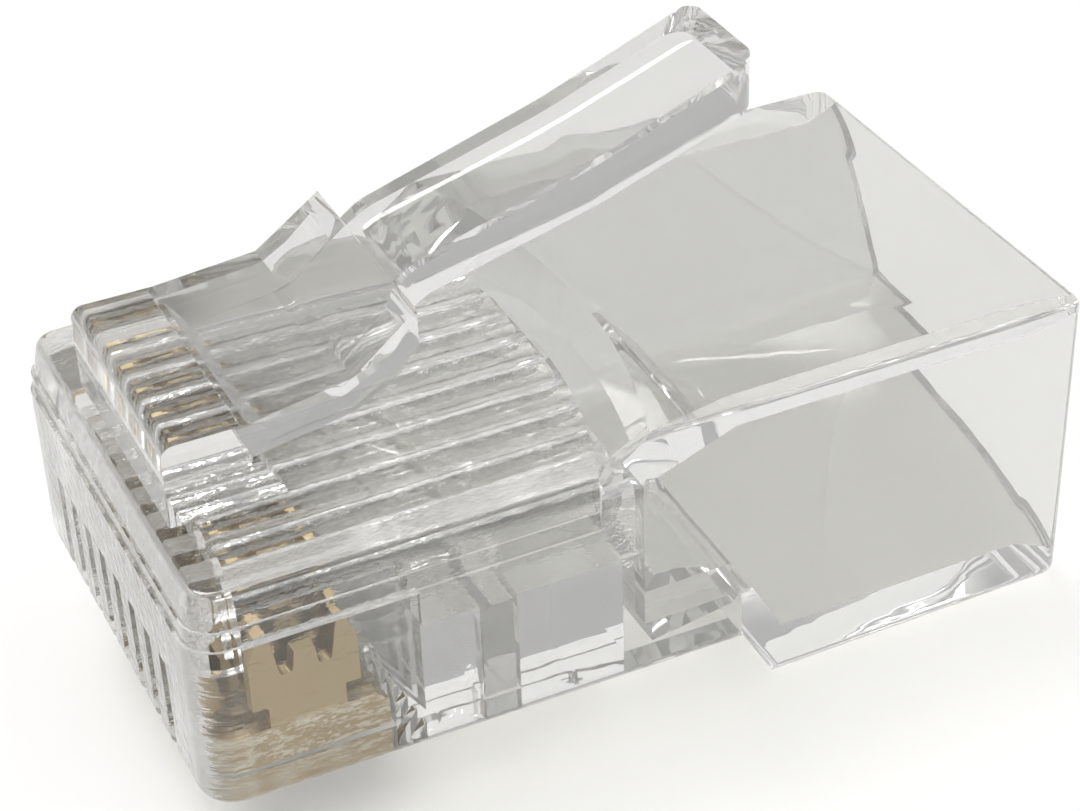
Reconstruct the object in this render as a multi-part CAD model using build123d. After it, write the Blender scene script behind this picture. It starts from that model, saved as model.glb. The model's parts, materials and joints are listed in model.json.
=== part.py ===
from build123d import *
import os
from math import atan2, degrees, sqrt

# Eight-way modular plug, all sizes in millimetres
# X runs from the mating nose (0) to the cable end, Z is up, the latch is on top and the contacts face down
# The finished pieces are centred on the body's length when they are written

# Body, outside
body_length = 21.6
body_width = 11.68
rear_height = 8.0
mating_height = 6.6          # underside of the front section to the raised rear top
underside_rise = 0.22        # how much the front underside climbs towards the nose
step_x = 12.9                # where the front underside ends
step_run = 0.8               # the riser leans back by this much
top_drop = 0.85              # the front top lies this much below the rear top
ramp_arc_radius = 16.0       # plan arc where the rear top begins
ramp_arc_reach = 11.5        # nose to the arc at mid width
ramp_run = 1.1
band_height = 0.8            # tapered band along the top edges of the front section
band_foot_inset = 0.13
band_lean = 0.17             # the band leans in by this much over its height
strip_height = 0.45          # upright strip below the band
strip_inset = 0.07
band_edge_radius = 0.2
nose_corner_radius = 0.85
comb_edge_radius = 0.4       # rounding around the front underside
rear_corner_radius = 0.35
underside_corner_radius = 0.45
rear_edge_radius = 0.15
cut_margin = 1.0             # cuts run this far past the face they open
join_depth = 0.2             # what is moulded together reaches this far into its neighbour

# Cable cavity
side_wall = 1.0
roof_wall = 0.85
floor_wall = 1.1
cavity_front = 10.5          # nose to the front wall of the cavity
cavity_roof_run = 2.3        # the roof climbs behind the front wall, in step with the ramp above it
cavity_heel = 0.35           # thickness of the riser, measured along the plug
mouth_length = 1.05          # flared lead-in at the cable end
mouth_flare = 0.38

# Contacts and their channels
contact_count = 8
contact_pitch = 1.016
contact_thickness = 0.35
contact_side_gap = 0.04      # blade to slot wall, each side
contact_end_gap = 0.1        # blade to slot end
contact_recess = 0.03        # blade's lower edge above the comb's face
contact_travel = 0.5         # how far a blade goes in when the plug is crimped
contact_front = 0.85         # nose to the blade's base
contact_length = 3.7
contact_height = 3.3
contact_foot_bevel = 0.25
base_height = 0.95
heel_bevel = 0.3
prong_front_inset = 0.65     # the prongs stand this far behind the base's front
prong_rear_inset = 0.6       # and this far ahead of its rear end
waist_height = 0.55          # narrower part between base and prongs
waist_inset = 0.35
tip_run = 0.25               # slant of the two outer prongs' tips
tip_rise = 0.6
notch_inset = 0.75           # rear edge of the prongs to the middle of the rear notch
notch_pitch = 0.88
notch_depth = 1.05
notch_width = 0.28
notch_lean = 0.17            # the outer prongs lean away from the notches
middle_prong_lean = 0.07
middle_prong_drop = 0.55
blade_fillet = 0.11
nose_slot_rise = 0.7         # the slots' nose opening ends this far above a pressed blade's waist
slot_rear = 5.35             # the slots run on behind the blades, over a sloping floor
slot_ledge_height = 1.3
slot_floor_height = 0.3
front_floor_height = 3.6     # channel floor above the blades, over the rear end of the front underside
rear_floor_height = 2.75     # the channels are deeper behind the slots
channel_width = 0.88
channel_height = 1.05        # above the blades
channel_lead = 0.6           # funnel at the channels' cavity end
channel_lead_growth = 0.05

# Conductor bar, a block under the channels that clamps the wires
conductor_bar_x = 6.77
conductor_bar_length = 0.76
conductor_bar_height = 2.5
conductor_bar_recess = 0.12  # its lower face above the step end of the front underside
conductor_bar_travel = 1.0
conductor_bar_bevel = 0.25
bar_gap = 0.07

# Jacket anchor, a hinged bar under the cavity that grips the cable's jacket
anchor_window_front = 10.2
anchor_front = 10.95
anchor_width = 7.6
anchor_height = 1.4
anchor_recess = 0.06
anchor_nose_bevel = 0.38
anchor_ridge = 0.9           # flat length of the gripping ridge with its bevel
anchor_fall = 0.25           # the ridge's top falls this much towards the hinge
anchor_hinge_radius = 0.32
anchor_hinge_inset = 0.02    # hinge axis ahead of the step
anchor_hinge_height = 0.6    # hinge axis above the anchor's lower face
anchor_gap = 0.05
anchor_slot_depth = 0.7      # tall slot at the window's front, along the plug
anchor_slot_top = 4.5

# Latch
latch_root_x = 0.7
latch_root_radius = 0.3
latch_root_foot_x = 3.35     # the pedestal's rear face slants down to here
latch_root_heel = 0.2        # and starts this far behind the hinge
latch_root_heel_drop = 0.6
latch_hinge_x = 2.6
latch_hinge_radius = 0.42
latch_hinge_gap = 0.03
latch_root_height = 1.15     # latch top above the rear top at the hinge
latch_wide = 6.0
latch_shoulder_width = 5.56  # the arm narrows to this at the locking shoulders
latch_narrow = 3.2
latch_bend_x = 5.0           # the arm bends up here
latch_bend_rise = 0.3
latch_bend_radius = 1.2
latch_crest_x = 7.0          # end of the steep climb, where the handle begins
latch_crest_rise = 2.9       # above the rear top, like the two below
handle_knee_x = 11.5
handle_knee_rise = 4.3
handle_knee_radius = 8.0
handle_end_x = 15.35
handle_rise = 5.8
handle_thickness = 1.2       # at the free end
handle_knee_thickness = 1.08
handle_crest_thickness = 0.8
handle_corner_radius = 0.55
handle_bevel = 0.1
shoulder_x = 6.55            # nose to the locking shoulders, latch relaxed
ear_tip_rise = 2.62
ear_depth = 0.85             # height of the locking shoulder
ear_root_x = 6.0
ear_root_rise = 1.1

# Derived places
underside_z = rear_height - mating_height
nose_underside_z = underside_z + underside_rise
front_top_z = rear_height - top_drop
half_width = body_width / 2
ramp_centre_x = ramp_arc_reach - ramp_arc_radius
cavity_half = half_width - side_wall
cavity_roof_z = rear_height - roof_wall
cavity_floor_z = underside_z + floor_wall
contact_bottom_z = nose_underside_z + contact_recess
contact_top_z = contact_bottom_z + contact_height
front_floor_z = underside_z + front_floor_height
rear_floor_z = underside_z + rear_floor_height
channel_top_z = front_floor_z + channel_height
channels_half = ((contact_count - 1) * contact_pitch + channel_width) / 2
contact_end_x = contact_front + contact_length
prong_front_x = contact_front + prong_front_inset
prong_rear_x = contact_end_x - prong_rear_inset
latch_top_z = rear_height + latch_root_height
hinge_z = latch_top_z - latch_hinge_radius
anchor_hinge_x = step_x - anchor_hinge_inset
anchor_bottom_z = underside_z + anchor_recess
anchor_hinge_z = anchor_bottom_z + anchor_hinge_height


def prism(profile, width, y=0.0):
    """Flat XZ profile given a width across the plug, centred on y."""
    return Pos(0, y, 0) * extrude(Plane.XZ * profile, amount=width / 2, both=True)


def bar(outline, width):
    """Prism of a closed XZ outline, centred across the plug."""
    return prism(make_face(outline), width)


def polygon(*points):
    """Closed straight-sided outline from (x, z) points."""
    return Polyline(*points, close=True)


def block(x0, x1, y0, y1, z0, z1):
    """Box between two corners."""
    return Pos((x0 + x1) / 2, (y0 + y1) / 2, (z0 + z1) / 2) * Box(x1 - x0, y1 - y0, z1 - z0)


def cross_cylinder(x, z, radius, width):
    """Cylinder lying across the plug."""
    return Pos(x, 0, z) * Rot(90, 0, 0) * Cylinder(radius, width)


def contact_y(index):
    """Middle of contact number index, counted from the far side."""
    return (contact_count / 2 + 0.5 - index) * contact_pitch


def body_blank():
    """Outer form without openings: stepped prism, rounded in plan and from the side."""
    blank = bar(polygon(
        (0, nose_underside_z), (step_x, underside_z), (step_x + step_run, 0),
        (body_length, 0), (body_length, rear_height), (0, rear_height),
    ), body_width)
    upright = blank.edges().filter_by(Axis.Z).sort_by(Axis.X)
    blank = fillet(upright[:2], nose_corner_radius)
    upright = blank.edges().filter_by(Axis.Z).sort_by(Axis.X)
    blank = fillet(upright[-2:], rear_corner_radius)
    across = blank.edges().filter_by(Axis.Y)
    blank = fillet(across.sort_by(Axis.Z)[:2], underside_corner_radius)
    comb = blank.faces().filter_by(lambda f: f.normal_at().Z < 0).sort_by(Axis.X)[0]
    blank = fillet(comb.edges().sort_by(Axis.X)[:-1], comb_edge_radius)
    rear_top = blank.faces().sort_by(Axis.Z)[-1].edges()
    return fillet(rear_top, rear_edge_radius)


def front_top_cut():
    """Space above the front section, closed at the back by a conical ramp."""
    low = ramp_arc_radius - ramp_run
    high = ramp_arc_radius + ramp_run * cut_margin / top_drop
    cone = Cone(low, high, top_drop + cut_margin, align=(Align.CENTER, Align.CENTER, Align.MIN))
    return Pos(ramp_centre_x, 0, front_top_z) * cone


def inset_plan(inset):
    """The body's outline in plan, this much smaller all round."""
    return RectangleRounded(body_length - 2 * inset, body_width - 2 * inset, nose_corner_radius - inset)


def band_cut():
    """What is shaved off the front section's upper edges: a narrow strip and the tapered band above it."""
    strip = extrude(inset_plan(strip_inset), amount=strip_height)
    lean = degrees(atan2(band_lean, band_height))
    band = extrude(inset_plan(band_foot_inset), amount=band_height, taper=lean)
    band = fillet(band.faces().sort_by(Axis.Z)[-1].edges(), band_edge_radius)
    core = strip + Pos(0, 0, strip_height) * band
    around = Cylinder(ramp_arc_radius - ramp_run, strip_height + band_height,
                      align=(Align.CENTER, Align.CENTER, Align.MIN))
    low = front_top_z - band_height - strip_height
    return Pos(ramp_centre_x, 0, low) * around - Pos(body_length / 2, 0, low) * core


def cavity():
    """Cable space, open at the rear, with a flared mouth."""
    heel_x = step_x + cavity_heel
    space = bar(polygon(
        (cavity_front, cavity_floor_z), (heel_x, cavity_floor_z), (heel_x + step_run, floor_wall),
        (body_length + cut_margin, floor_wall), (body_length + cut_margin, cavity_roof_z),
        (cavity_front + cavity_roof_run, cavity_roof_z), (cavity_front, front_top_z - roof_wall),
    ), 2 * cavity_half)
    height = cavity_roof_z - floor_wall
    middle = (floor_wall + cavity_roof_z) / 2
    inner = Plane.YZ.offset(body_length - mouth_length) * Pos(0, middle) * Rectangle(2 * cavity_half, height)
    outer = Plane.YZ.offset(body_length) * Pos(0, middle) * Rectangle(
        2 * (cavity_half + mouth_flare), height + 2 * mouth_flare)
    return space + loft([inner, outer])


def wire_channel(y):
    """One round-roofed channel from the blade to the cavity, with a funnel at its end."""
    radius = channel_width / 2
    start = prong_front_x - contact_end_gap
    end = cavity_front + join_depth
    axis_z = channel_top_z - radius
    along = Pos(start, y, axis_z) * Rot(0, 90, 0)
    roof = along * Cylinder(radius, end - start, align=(Align.CENTER, Align.CENTER, Align.MIN))
    front = block(start, end, y - radius, y + radius, front_floor_z, axis_z)
    rear = block(slot_rear, end, y - radius, y + radius, rear_floor_z, axis_z)
    funnel = Pos(cavity_front - channel_lead, y, axis_z) * Rot(0, 90, 0) * Cone(
        radius, radius + channel_lead_growth, channel_lead, align=(Align.CENTER, Align.CENTER, Align.MIN))
    return roof + front + rear + funnel


def contact_slot(y):
    """Slot for one blade, open below and at the nose, and to its channel; its rear end is closed below."""
    width = contact_thickness + 2 * contact_side_gap
    waist_top = contact_bottom_z + base_height + waist_height + contact_travel
    nose = block(-cut_margin, prong_front_x, y - width / 2, y + width / 2,
                 underside_z - cut_margin, waist_top + nose_slot_rise)
    x0, x1 = prong_front_x - contact_end_gap, contact_end_x + contact_end_gap
    rear = prism(make_face(polygon(
        (x0, underside_z - cut_margin), (x1, underside_z - cut_margin), (x1, underside_z + slot_ledge_height),
        (slot_rear, underside_z + slot_floor_height), (slot_rear, front_floor_z + join_depth),
        (x0, front_floor_z + join_depth),
    )), width, y)
    return nose + rear


def conductor_window():
    """Slot across the channels for the conductor bar, flush with the outermost channels."""
    return block(conductor_bar_x - bar_gap, conductor_bar_x + conductor_bar_length + bar_gap,
                 -channels_half, channels_half, underside_z - cut_margin,
                 underside_z + conductor_bar_recess + conductor_bar_height + conductor_bar_travel + bar_gap)


def anchor_window():
    """Window under the cavity for the jacket anchor, with a tall slot at its front."""
    half = anchor_width / 2 + anchor_gap
    rear_x = anchor_hinge_x + anchor_hinge_radius + anchor_gap
    window = block(anchor_window_front, rear_x, -half, half,
                   underside_z - cut_margin, cavity_floor_z + join_depth)
    slot = block(anchor_window_front, anchor_window_front + anchor_slot_depth,
                 -half, half, underside_z, anchor_slot_top)
    return window + slot


def latch_root():
    """Pedestal on the nose that carries the latch, with a round seat for its hinge."""
    low = front_top_z - join_depth
    root = block(latch_root_x, latch_hinge_x, -latch_wide / 2, latch_wide / 2, low, latch_top_z)
    front_edge = root.edges().filter_by(Axis.Y).sort_by(Axis.Z)[-2:].sort_by(Axis.X)[0]
    root = fillet(front_edge, latch_root_radius)
    heel_z = hinge_z - latch_root_heel_drop
    heel = bar(polygon(
        (latch_hinge_x - latch_root_heel, low), (latch_root_foot_x, low), (latch_root_foot_x, front_top_z),
        (latch_hinge_x + latch_root_heel, heel_z), (latch_hinge_x - latch_root_heel, heel_z),
    ), latch_wide)
    seat_radius = latch_hinge_radius + latch_hinge_gap
    return root + heel - cross_cylinder(latch_hinge_x, hinge_z, seat_radius, latch_wide + cut_margin)


def housing():
    """Clear body: comb nose, eight channels, windows, cavity and latch root."""
    body = body_blank() - front_top_cut() - band_cut()
    body = body - cavity() - conductor_window() - anchor_window()
    for index in range(1, contact_count + 1):
        body = body - wire_channel(contact_y(index)) - contact_slot(contact_y(index))
    return body + latch_root()


def wide_arm_outline():
    """Side outline of the flat arm and its two locking ears."""
    base = rear_height
    arm_low = hinge_z - latch_hinge_radius
    return polygon(
        (latch_hinge_x, latch_top_z), (latch_bend_x, latch_top_z + latch_bend_rise),
        (shoulder_x, base + ear_tip_rise), (shoulder_x, base + ear_tip_rise - ear_depth),
        (ear_root_x, base + ear_root_rise), (latch_bend_x, arm_low + latch_bend_rise),
        (latch_hinge_x, arm_low),
    )


def wide_arm():
    """Flat arm with its ears, narrowing a little from the hinge to the locking shoulders."""
    root, end = latch_wide / 2, latch_shoulder_width / 2
    plan = make_face(polygon(
        (latch_hinge_x, -root), (shoulder_x, -end), (shoulder_x, end), (latch_hinge_x, root)))
    return bar(wide_arm_outline(), latch_wide) & Pos(0, 0, rear_height) * extrude(plan, amount=ear_tip_rise)


def handle_top_line():
    """Upper edge of the latch from the hinge over the bend to the handle's free end."""
    return FilletPolyline(
        (latch_hinge_x, latch_top_z), (latch_bend_x, latch_top_z + latch_bend_rise),
        (latch_crest_x, rear_height + latch_crest_rise), (handle_knee_x, rear_height + handle_knee_rise),
        (handle_end_x, rear_height + handle_rise),
        radius=[latch_bend_radius, latch_bend_radius, handle_knee_radius],
    )


def handle_low_line():
    """Lower edge of the latch, back from the free end to the hinge."""
    arm_thickness = 2 * latch_hinge_radius
    return FilletPolyline(
        (handle_end_x, rear_height + handle_rise - handle_thickness),
        (handle_knee_x, rear_height + handle_knee_rise - handle_knee_thickness),
        (latch_crest_x + handle_crest_thickness / 4,
         rear_height + latch_crest_rise - handle_crest_thickness),
        (latch_bend_x + arm_thickness / 2, latch_top_z + latch_bend_rise - arm_thickness),
        (latch_hinge_x, latch_top_z - arm_thickness),
        radius=[handle_knee_radius, latch_bend_radius, latch_bend_radius],
    )


def handle_bevel_cut():
    """Wedge along one upper edge of the handle, slanted at 45 degrees."""
    top = handle_top_line()
    rise = 2 * handle_bevel
    start, end = top @ 0, top @ 1
    band = [top, Line(end, (end.X, end.Y + rise)), Line((end.X, end.Y + rise), (start.X, end.Y + rise)),
            Line((start.X, end.Y + rise), start)]
    wedge = extrude(Plane.XZ * make_face(band), amount=rise * sqrt(2), dir=(0, 1, -1))
    return Pos(0, latch_narrow / 2 - handle_bevel, 0) * wedge


def latch():
    """Sprung latch: hinge knuckle, wide arm, two locking ears and the bevelled handle."""
    top = handle_top_line()
    low = handle_low_line()
    handle = bar([top, Line(top @ 1, low @ 0), low, Line(low @ 1, top @ 0)], latch_narrow)
    corners = handle.edges().filter_by(Axis.Z).sort_by(Axis.X)[-2:]
    handle = fillet(corners, handle_corner_radius)
    wedge = handle_bevel_cut()
    handle = handle - wedge - mirror(wedge, Plane.XZ)
    knuckle = cross_cylinder(latch_hinge_x, hinge_z, latch_hinge_radius, latch_wide)
    return knuckle + wide_arm() + handle


def contact_blade(y):
    """Gold blade: a base, a narrower waist and two tall prongs with a short one between them."""
    x0, x1, x2, x3 = contact_front, prong_front_x, prong_rear_x, contact_end_x
    low, top = contact_bottom_z, contact_top_z
    base_z = low + base_height
    waist_z = base_z + waist_height
    notch_z = top - notch_depth
    middle_z = top - middle_prong_drop
    half = notch_width / 2
    rear = x2 - notch_inset
    front = rear - notch_pitch
    profile = make_face(polygon(
        (x0 + contact_foot_bevel, low), (x3, low), (x3, base_z - heel_bevel), (x3 - heel_bevel, base_z),
        (x2 - waist_inset, base_z), (x2 - waist_inset, waist_z), (x2, waist_z),
        (x2, top - tip_rise), (x2 - tip_run, top), (rear + half + notch_lean, top),
        (rear + half, notch_z), (rear - half, notch_z), (rear - half - middle_prong_lean, middle_z),
        (front + half + middle_prong_lean, middle_z), (front + half, notch_z), (front - half, notch_z),
        (front - half - notch_lean, top), (x1 + tip_run, top), (x1, top - tip_rise),
        (x1, waist_z), (x1 + waist_inset, waist_z), (x1 + waist_inset, base_z),
        (x0, base_z), (x0, low + contact_foot_bevel),
    ))
    rounded = [v for v in profile.vertices() if base_z <= round(v.Y, 6) <= round(notch_z, 6)
               and x1 + waist_inset <= round(v.X, 6) <= round(rear + half, 6)]
    return prism(fillet(rounded, blade_fillet), contact_thickness, y)


def conductor_bar():
    """Block that is pushed up at crimping and clamps the eight wires."""
    x0 = conductor_bar_x
    x1 = conductor_bar_x + conductor_bar_length
    low = underside_z + conductor_bar_recess
    top = low + conductor_bar_height
    return bar(polygon(
        (x0, low), (x1, low), (x1, top), (x0 + conductor_bar_bevel, top), (x0, top - conductor_bar_bevel),
    ), 2 * (channels_half - bar_gap))


def jacket_anchor():
    """Bar on a rear hinge that is pushed up into the cable's jacket."""
    low = anchor_bottom_z
    top = low + anchor_height
    knuckle_top = anchor_hinge_z + anchor_hinge_radius
    knuckle = cross_cylinder(anchor_hinge_x, anchor_hinge_z, anchor_hinge_radius, anchor_width)
    wedge = bar(polygon(
        (anchor_front, low), (anchor_hinge_x, anchor_hinge_z - anchor_hinge_radius),
        (anchor_hinge_x, knuckle_top),
        (anchor_hinge_x - anchor_hinge_radius, top - anchor_fall), (anchor_front + anchor_ridge, top),
        (anchor_front + anchor_nose_bevel, top), (anchor_front, top - anchor_nose_bevel),
    ), anchor_width)
    return knuckle + wedge


def write(name, shape):
    """Centre a piece on the body's length and write it."""
    export_step(Pos(-body_length / 2, 0, 0) * shape, os.path.join("parts", name + ".step"))


os.makedirs("parts", exist_ok=True)
write("housing", housing())
write("latch", latch())
write("conductor_bar", conductor_bar())
write("jacket_anchor", jacket_anchor())
for number in range(1, contact_count + 1):
    write("contact_" + str(number), contact_blade(contact_y(number)))
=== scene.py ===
import json
import math

import bmesh
import bpy
from mathutils import Matrix, Vector


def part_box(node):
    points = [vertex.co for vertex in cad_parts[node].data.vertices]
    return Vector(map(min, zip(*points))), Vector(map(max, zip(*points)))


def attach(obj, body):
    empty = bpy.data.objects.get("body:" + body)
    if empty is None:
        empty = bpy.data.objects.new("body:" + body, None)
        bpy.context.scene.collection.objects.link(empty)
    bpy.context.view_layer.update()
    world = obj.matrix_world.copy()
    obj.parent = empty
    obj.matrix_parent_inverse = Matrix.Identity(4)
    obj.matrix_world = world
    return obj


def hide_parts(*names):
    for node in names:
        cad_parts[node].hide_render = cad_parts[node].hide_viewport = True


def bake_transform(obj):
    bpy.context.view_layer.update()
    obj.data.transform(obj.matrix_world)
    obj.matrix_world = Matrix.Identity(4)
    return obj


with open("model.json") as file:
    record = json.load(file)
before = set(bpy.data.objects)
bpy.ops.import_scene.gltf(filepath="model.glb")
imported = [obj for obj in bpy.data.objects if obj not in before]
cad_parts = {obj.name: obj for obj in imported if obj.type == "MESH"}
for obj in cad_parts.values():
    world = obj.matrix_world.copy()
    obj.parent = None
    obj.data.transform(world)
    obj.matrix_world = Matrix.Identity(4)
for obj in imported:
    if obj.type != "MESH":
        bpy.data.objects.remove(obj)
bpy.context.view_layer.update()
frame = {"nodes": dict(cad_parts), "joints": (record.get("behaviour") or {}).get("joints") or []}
nodes = frame["nodes"]

MM = 0.001

# Camera, fitted to the photograph's straight edges
CAMERA_AIM = Vector((0.2, 0.0, 4.0)) * MM
CAMERA_AZIMUTH = math.radians(-117.92)
CAMERA_HEIGHT = math.radians(34.90)
CAMERA_ROLL = math.radians(-0.17)
CAMERA_DISTANCE = 61.96 * MM
CAMERA_SLIDE = (2.623 * MM, 0.827 * MM)
CAMERA_SHIFT = -0.12
CAMERA_NEAREST = 1 * MM
CAMERA_FARTHEST = 10.0
FOCAL_PIXELS = 2616.6
PHOTO_WIDTH = 1080
SENSOR_WIDTH = 36.0

# Clear plastic. The shadow tint is what each of its faces leaves of the light that lamps send through it.
PLASTIC_IOR = 1.585
PLASTIC_TINT = (0.77, 0.77, 0.76, 1.0)
SHADOW_TINT = (0.87, 0.87, 0.86, 1.0)
PLASTIC_ROUGHNESS = (0.0, 0.02)

# Zones of the tool marks and of the plating's tears with their painted glints: each fades between its two
# bounds. The nose looks to -X.
COMB_SIDE = (4.6 * MM, 5.0 * MM)
NOSE_REAR = (-7.4 * MM, -7.2 * MM)
CHANNELS_REAR = (-0.4 * MM, 0.2 * MM)
CHANNELS_TOP = (6.1 * MM, 6.3 * MM)
CHANNELS_FLOOR = (3.7 * MM, 4.0 * MM)
NOSE_FOOT_TOP = (1.0 * MM, 1.3 * MM)
TORN_AND_GLINT_TOP = (2.5 * MM, 2.7 * MM)

# Gold plating, with bright glints painted into its colour low on the blade
GOLD_PLAIN = (0.64, 0.50, 0.30, 1.0)
GOLD_PAINTED_GLINT = (1.0, 0.93, 0.78, 1.0)
GOLD_ROUGHNESS = (0.22, 0.42)
PAINTED_GLINT_BOUNDS = (0.48, 0.56)

# Noise fields, with their scale in features a millimetre
HAZE = {"scale": 1.3, "detail": 4.0}
FLOW_WAVES = {"scale": 0.45, "detail": 2.0}
TOOL_MARKS = {"scale": 1.5, "detail": 3.0, "roughness": 0.6, "stretch": (1.0, 2.5, 2.5)}
GOLD_WEAR = {"scale": 3.0, "detail": 5.0}
GOLD_BRUSHING = {"scale": 9.0, "detail": 4.0}
GOLD_TEARS = {"scale": 5.0, "detail": 6.0, "roughness": 0.7, "stretch": (0.5, 1.0, 1.6)}
# Noise that places the painted glints on the lower blade
PAINTED_GLINT_NOISE = {"scale": 9.0, "detail": 4.0, "roughness": 0.75, "stretch": (0.35, 1.0, 1.3)}
FLOOR_MOTTLING = {"scale": 0.1}

# Bumps, as strength and depth
FLOW_BUMP = (0.25, 0.03 * MM)
TOOL_BUMP = (0.8, 0.05 * MM)
BRUSHING_BUMP = (0.12, 0.01 * MM)
TEAR_BUMP = (0.9, 0.06 * MM)

# Joined moulding: a block fills the latch's seat and reaches a hair past the hinge, and the cut runs just
# below the latch.
CREASE_ANGLE = math.radians(28)
MERGE_DISTANCE = 0.0005 * MM
SEAT_MARGIN = 0.06 * MM
BRIDGE_REACH = 0.02 * MM
CUT_DROP = 0.16 * MM

# Floor, a hair below the plug so that light reaches it
FLOOR_GAP = 0.03 * MM
FLOOR_DEPTH = 2 * MM
FLOOR_REACH = 3.0
FLOOR_COLOR = (0.80, 0.80, 0.80, 1.0)
FLOOR_ROUGHNESS = (0.55, 0.65)

# Light: radiance of the surround, of the bright ceiling and of one round softbox. The ceiling's bounds are
# sines of its elevation, the softbox's are cosines of the angle from its axis.
SURROUND_COLOR = (1.0, 0.995, 0.98, 1.0)
SURROUND_LIGHT = 0.55
CEILING_LIGHT = 1.1
CEILING_BOUNDS = (0.65, 0.85)
SOFTBOX_LIGHT = 9.5
SOFTBOX_BOUNDS = (0.965, 0.975)
SOFTBOX_AZIMUTH = math.radians(95)
SOFTBOX_HEIGHT = math.radians(62)

# Light paths through the clear plastic, which has many faces one behind another
LIGHT_BOUNCES = 48
NOISE_THRESHOLD = 0.04


def heading(azimuth, height):
    """Unit vector towards an azimuth and an elevation."""
    flat = math.cos(height)
    return Vector((flat * math.cos(azimuth), flat * math.sin(azimuth), math.sin(height)))


def node_material(name):
    """New material with its node tree and its Principled shader."""
    material = bpy.data.materials.new(name)
    material.use_nodes = True
    tree = material.node_tree
    return material, tree, tree.nodes["Principled BSDF"]


def place(tree):
    """Object coordinates as separate values."""
    coordinates = tree.nodes.new("ShaderNodeTexCoord")
    parts = tree.nodes.new("ShaderNodeSeparateXYZ")
    tree.links.new(coordinates.outputs["Object"], parts.inputs["Vector"])
    return parts.outputs


def noise(tree, scale, detail=3.0, roughness=0.5, stretch=(1, 1, 1)):
    """Noise texture in object coordinates."""
    coordinates = tree.nodes.new("ShaderNodeTexCoord")
    mapping = tree.nodes.new("ShaderNodeMapping")
    mapping.inputs["Scale"].default_value = stretch
    texture = tree.nodes.new("ShaderNodeTexNoise")
    texture.inputs["Scale"].default_value = scale / MM
    texture.inputs["Detail"].default_value = detail
    texture.inputs["Roughness"].default_value = roughness
    tree.links.new(coordinates.outputs["Object"], mapping.inputs["Vector"])
    tree.links.new(mapping.outputs["Vector"], texture.inputs["Vector"])
    return texture.outputs["Fac"]


def mapped(tree, value, low, high, start=0.0, end=1.0):
    """Value that runs from start to end, spread between low and high."""
    spread = tree.nodes.new("ShaderNodeMapRange")
    spread.inputs["From Min"].default_value = start
    spread.inputs["From Max"].default_value = end
    spread.inputs["To Min"].default_value = low
    spread.inputs["To Max"].default_value = high
    tree.links.new(value, spread.inputs["Value"])
    return spread.outputs["Result"]


def below(tree, value, bounds):
    """One where the value is under both bounds, zero where it is over them."""
    return mapped(tree, value, 1.0, 0.0, *bounds)


def above(tree, value, bounds):
    """One where the value is over both bounds, zero where it is under them."""
    return mapped(tree, value, 0.0, 1.0, *bounds)


def combined(tree, operation, *values):
    """One value worked out from one or two others."""
    step = tree.nodes.new("ShaderNodeMath")
    step.operation = operation
    for socket, value in zip(step.inputs, values):
        tree.links.new(value, socket)
    return step.outputs["Value"]


def times(tree, first, second):
    """Product of two values."""
    return combined(tree, "MULTIPLY", first, second)


def bumped(tree, value, strength, depth, before=None):
    """Normal from a height value, on top of an earlier bump."""
    bump = tree.nodes.new("ShaderNodeBump")
    bump.inputs["Strength"].default_value = strength
    bump.inputs["Distance"].default_value = depth
    tree.links.new(value, bump.inputs["Height"])
    if before:
        tree.links.new(before, bump.inputs["Normal"])
    return bump.outputs["Normal"]


def comb_mask(tree):
    """One inside the comb, in its channels and along the foot of the nose, zero on the smooth faces."""
    x, y, z = place(tree)
    inner = below(tree, combined(tree, "ABSOLUTE", y), COMB_SIDE)
    low = below(tree, z, CHANNELS_TOP)
    front = times(tree, below(tree, x, CHANNELS_REAR), low)
    channels = times(tree, front, times(tree, above(tree, z, CHANNELS_FLOOR), inner))
    foot = below(tree, z, NOSE_FOOT_TOP)
    nose = times(tree, below(tree, x, NOSE_REAR), low)
    comb = times(tree, nose, combined(tree, "MAXIMUM", inner, foot))
    return combined(tree, "MAXIMUM", channels, comb)


def let_lamps_through(tree, shader):
    """The clear plastic throws a light shadow, not a black one, on the floor and in its own hollows."""
    film = tree.nodes.new("ShaderNodeBsdfTransparent")
    film.inputs["Color"].default_value = SHADOW_TINT
    path = tree.nodes.new("ShaderNodeLightPath")
    mix = tree.nodes.new("ShaderNodeMixShader")
    tree.links.new(path.outputs["Is Shadow Ray"], mix.inputs["Fac"])
    tree.links.new(shader.outputs["BSDF"], mix.inputs[1])
    tree.links.new(film.outputs["BSDF"], mix.inputs[2])
    tree.links.new(mix.outputs["Shader"], tree.nodes["Material Output"].inputs["Surface"])


def clear_plastic():
    """Moulded clear polycarbonate: a trace of haze, faint flow waves, and tool marks in the comb."""
    material, tree, shader = node_material("clear_polycarbonate")
    shader.inputs["Base Color"].default_value = PLASTIC_TINT
    shader.inputs["Transmission Weight"].default_value = 1.0
    shader.inputs["IOR"].default_value = PLASTIC_IOR
    tree.links.new(mapped(tree, noise(tree, **HAZE), *PLASTIC_ROUGHNESS), shader.inputs["Roughness"])
    waves = bumped(tree, noise(tree, **FLOW_WAVES), *FLOW_BUMP)
    marks = times(tree, noise(tree, **TOOL_MARKS), comb_mask(tree))
    tree.links.new(bumped(tree, marks, *TOOL_BUMP, waves), shader.inputs["Normal"])
    let_lamps_through(tree, shader)
    return material


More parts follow.
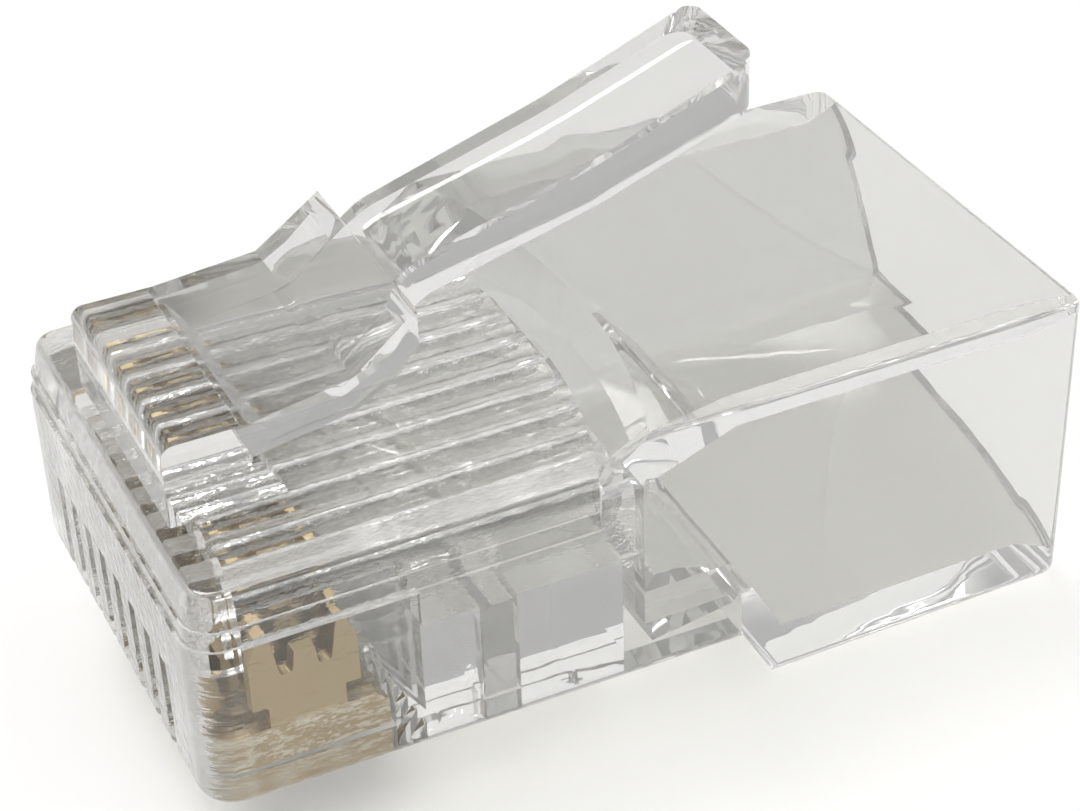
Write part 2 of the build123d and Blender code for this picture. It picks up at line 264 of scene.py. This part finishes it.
def contact_gold():
    """Thin gold plating on a stamped blade: smooth above, with the stamping's tears below and bright glints
    painted into the gold's colour there.
    """
    material, tree, shader = node_material("contact_gold")
    shader.inputs["Metallic"].default_value = 1.0
    tree.links.new(mapped(tree, noise(tree, **GOLD_WEAR), *GOLD_ROUGHNESS), shader.inputs["Roughness"])
    torn_and_glinting = below(tree, place(tree)["Z"], TORN_AND_GLINT_TOP)
    brushed = bumped(tree, noise(tree, **GOLD_BRUSHING), *BRUSHING_BUMP)
    tears = times(tree, noise(tree, **GOLD_TEARS), torn_and_glinting)
    tree.links.new(bumped(tree, tears, *TEAR_BUMP, brushed), shader.inputs["Normal"])
    # Painted highlight: bright spots in the lower blade's base colour stand in for glints of light on the
    # rough plating
    painted_glints = times(tree, above(tree, noise(tree, **PAINTED_GLINT_NOISE), PAINTED_GLINT_BOUNDS), torn_and_glinting)
    gold_and_painted_glints = tree.nodes.new("ShaderNodeValToRGB")
    gold_and_painted_glints.color_ramp.elements[0].color = GOLD_PLAIN
    gold_and_painted_glints.color_ramp.elements[1].color = GOLD_PAINTED_GLINT
    tree.links.new(painted_glints, gold_and_painted_glints.inputs["Fac"])
    tree.links.new(gold_and_painted_glints.outputs["Color"], shader.inputs["Base Color"])
    return material


def floor_paint():
    """Pale matt floor with a barely visible mottling."""
    material, tree, shader = node_material("pale_floor")
    shader.inputs["Base Color"].default_value = FLOOR_COLOR
    tree.links.new(mapped(tree, noise(tree, **FLOOR_MOTTLING), *FLOOR_ROUGHNESS), shader.inputs["Roughness"])
    return material


def link_new(name, mesh):
    """New object with this mesh in the scene."""
    thing = bpy.data.objects.new(name, mesh)
    bpy.context.scene.collection.objects.link(thing)
    return thing


def finished_mesh(name, form):
    """Mesh from a bmesh that is then let go."""
    mesh = bpy.data.meshes.new(name)
    form.to_mesh(mesh)
    form.free()
    return mesh


def box_mesh(name, low, high):
    """Closed box between two corners."""
    form = bmesh.new()
    middle = (Vector(low) + Vector(high)) / 2
    size = Vector(high) - Vector(low)
    bmesh.ops.create_cube(form, size=1.0, matrix=Matrix.Translation(middle) @ Matrix.Diagonal((*size, 1.0)))
    return finished_mesh(name, form)


def crease(form):
    """Smooth shading with sharp edges where faces meet at more than the crease angle."""
    bmesh.ops.remove_doubles(form, verts=form.verts, dist=MERGE_DISTANCE)
    for face in form.faces:
        face.smooth = True
    for edge in form.edges:
        edge.smooth = edge.is_manifold and edge.calc_face_angle(0.0) < CREASE_ANGLE


def cut_level(mesh, name, height, upper):
    """Upper or lower share of a closed mesh, open at the cut, so that the two shares have no wall between."""
    form = bmesh.new()
    form.from_mesh(mesh)
    everything = form.verts[:] + form.edges[:] + form.faces[:]
    bmesh.ops.bisect_plane(form, geom=everything, plane_co=(0, 0, height), plane_no=(0, 0, 1),
                           clear_inner=upper, clear_outer=not upper)
    crease(form)
    piece = link_new(name, finished_mesh(name, form))
    piece.data.materials.append(plastic)
    return piece


def united(first, *others):
    """Mesh of the union of these meshes."""
    body = link_new("first_draft", first)
    tools = [link_new("draft", mesh) for mesh in others]
    for tool in tools:
        union = body.modifiers.new("join", "BOOLEAN")
        union.operation = "UNION"
        union.solver = "EXACT"
        union.object = tool
    shape = body.evaluated_get(bpy.context.evaluated_depsgraph_get())
    mesh = bpy.data.meshes.new_from_object(shape)
    for draft in (body, *tools):
        bpy.data.objects.remove(draft)
    return mesh


def joined_moulding():
    """Housing and latch as the one clear moulding that they really are, with a solid root."""
    latch_low, latch_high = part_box("latch")
    hinge = next(joint for joint in frame["joints"] if joint["name"] == "latch_press")
    hinge_x, _, hinge_z = hinge["pos_m"]
    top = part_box("housing")[1][2]
    seat = top - hinge_z + SEAT_MARGIN
    bridge = box_mesh("root_bridge",
                      (hinge_x - seat, latch_low[1], hinge_z - seat),
                      (hinge_x + BRIDGE_REACH, latch_high[1], top))
    mesh = united(nodes["housing"].data.copy(), bridge, nodes["latch"].data.copy())
    level = latch_low[2] - CUT_DROP
    moulding = cut_level(mesh, "clear_moulding", level, upper=False)
    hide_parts("housing")
    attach(moulding, "housing")
    latch = cut_level(mesh, "clear_latch", level, upper=True)
    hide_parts("latch")
    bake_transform(latch)


def floor():
    """Wide pale floor."""
    reach = FLOOR_REACH
    slab = link_new("floor", box_mesh("floor", (-reach, -reach, -FLOOR_DEPTH), (reach, reach, -FLOOR_GAP)))
    slab.data.materials.append(floor_paint())


def light():
    """Dim even surround, under a bright ceiling with one round softbox."""
    world = bpy.data.worlds.new("studio")
    world.use_nodes = True
    tree = world.node_tree
    direction = tree.nodes.new("ShaderNodeTexCoord").outputs["Generated"]
    parts = tree.nodes.new("ShaderNodeSeparateXYZ")
    tree.links.new(direction, parts.inputs["Vector"])
    ceiling = mapped(tree, parts.outputs["Z"], SURROUND_LIGHT, CEILING_LIGHT, *CEILING_BOUNDS)
    toward = tree.nodes.new("ShaderNodeVectorMath")
    toward.operation = "DOT_PRODUCT"
    tree.links.new(direction, toward.inputs[0])
    toward.inputs[1].default_value = heading(SOFTBOX_AZIMUTH, SOFTBOX_HEIGHT)
    softbox = mapped(tree, toward.outputs["Value"], 0.0, SOFTBOX_LIGHT, *SOFTBOX_BOUNDS)
    background = tree.nodes["Background"]
    background.inputs["Color"].default_value = SURROUND_COLOR
    tree.links.new(combined(tree, "ADD", ceiling, softbox), background.inputs["Strength"])
    bpy.context.scene.world = world


def camera():
    """Camera at the photograph's viewing angle."""
    back = heading(CAMERA_AZIMUTH, CAMERA_HEIGHT)
    level_right = Vector((-math.sin(CAMERA_AZIMUTH), math.cos(CAMERA_AZIMUTH), 0))
    level_up = back.cross(level_right)
    c, s = math.cos(CAMERA_ROLL), math.sin(CAMERA_ROLL)
    right = c * level_right + s * level_up
    up = c * level_up - s * level_right
    lens = bpy.data.cameras.new("camera")
    lens.sensor_width = SENSOR_WIDTH
    lens.lens = FOCAL_PIXELS / PHOTO_WIDTH * SENSOR_WIDTH
    lens.shift_x = CAMERA_SHIFT
    lens.clip_start = CAMERA_NEAREST
    lens.clip_end = CAMERA_FARTHEST
    eye = link_new("camera", lens)
    spot = CAMERA_AIM + back * CAMERA_DISTANCE + right * CAMERA_SLIDE[0] + up * CAMERA_SLIDE[1]
    eye.matrix_world = Matrix.Translation(spot) @ Matrix((right, up, back)).transposed().to_4x4()
    bpy.context.scene.camera = eye


plastic = clear_plastic()
gold = contact_gold()
for name, node in nodes.items():
    node.material_slots[0].material = gold if name.startswith("contact") else plastic
joined_moulding()
floor()
light()
camera()

cycles = bpy.context.scene.cycles
cycles.max_bounces = LIGHT_BOUNCES
cycles.transmission_bounces = LIGHT_BOUNCES
cycles.glossy_bounces = LIGHT_BOUNCES
cycles.transparent_max_bounces = LIGHT_BOUNCES
cycles.adaptive_threshold = NOISE_THRESHOLD
cycles.use_denoising = True
bpy.context.scene.view_settings.view_transform = "Standard"
